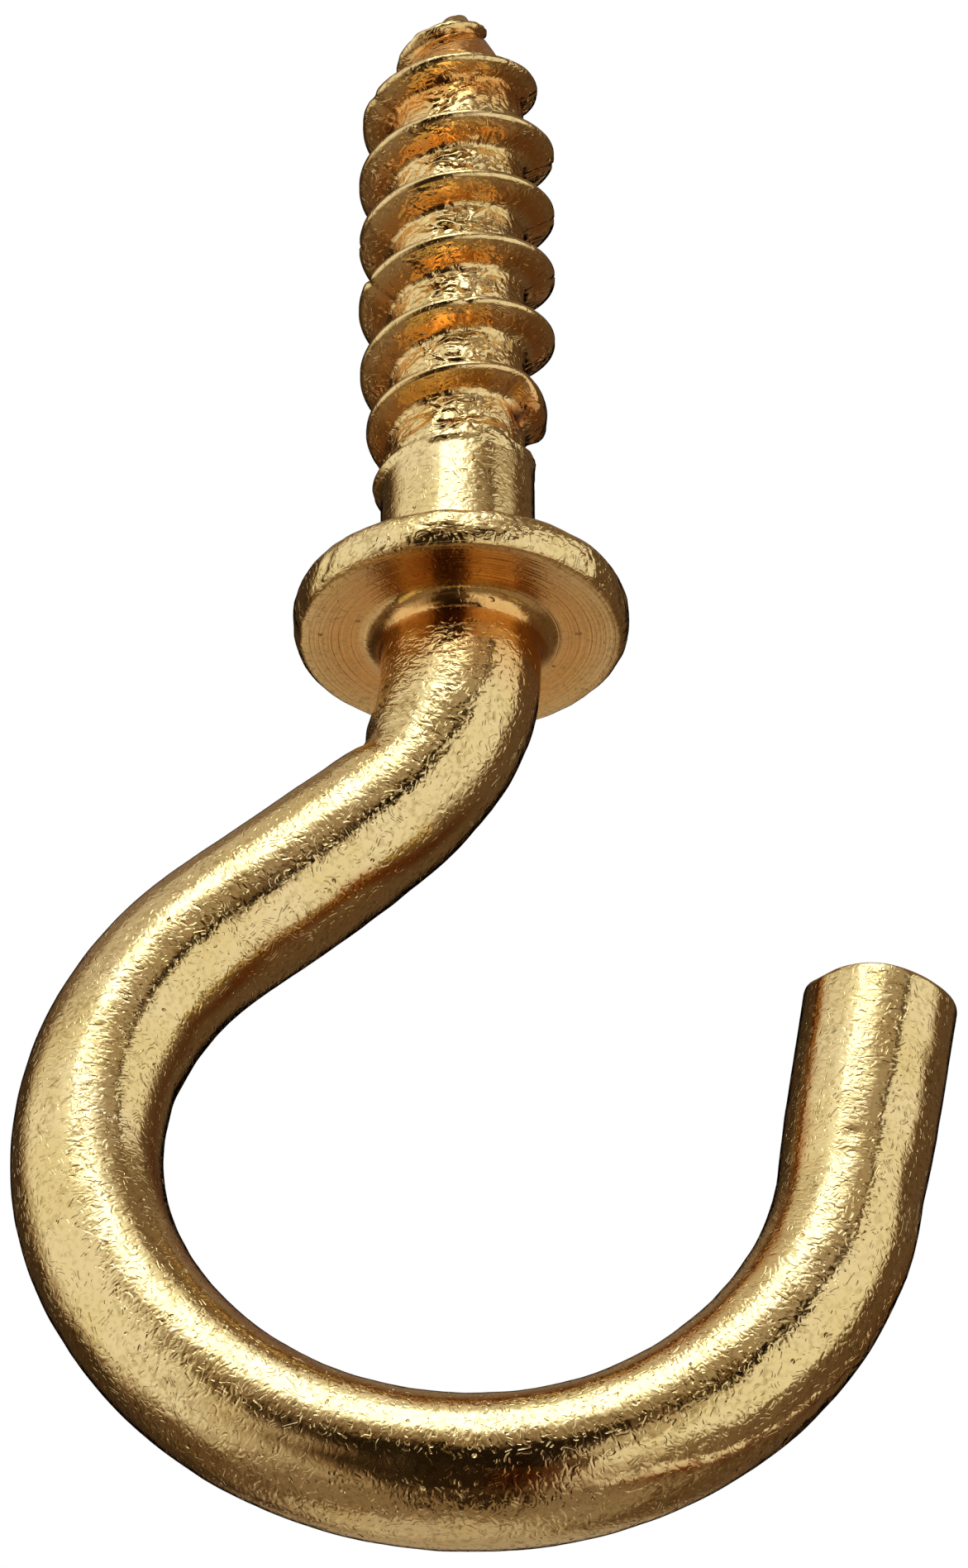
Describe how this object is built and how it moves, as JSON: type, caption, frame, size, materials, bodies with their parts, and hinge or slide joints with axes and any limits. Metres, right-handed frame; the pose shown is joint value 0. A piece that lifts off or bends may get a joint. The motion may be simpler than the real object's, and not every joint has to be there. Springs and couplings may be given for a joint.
{
  "type": "cup hook",
  "caption": "Shouldered cup hook in solid brass: a wood screw with a gimlet point, a round collar and an open hook bent from the same wire.",
  "frame": {"origin": "centre of the collar's seating face, on the screw's axis", "axes": "+Z along the screw to its point, +X towards the side where the hook is open, the hook in the XZ plane"},
  "size_m": [0.0183, 0.0068, 0.0367],
  "materials": {
    "brass": "tumbled satin"
  },
  "bodies": {
    "root": {"cup_hook": "brass"}
  },
  "joints": []
}
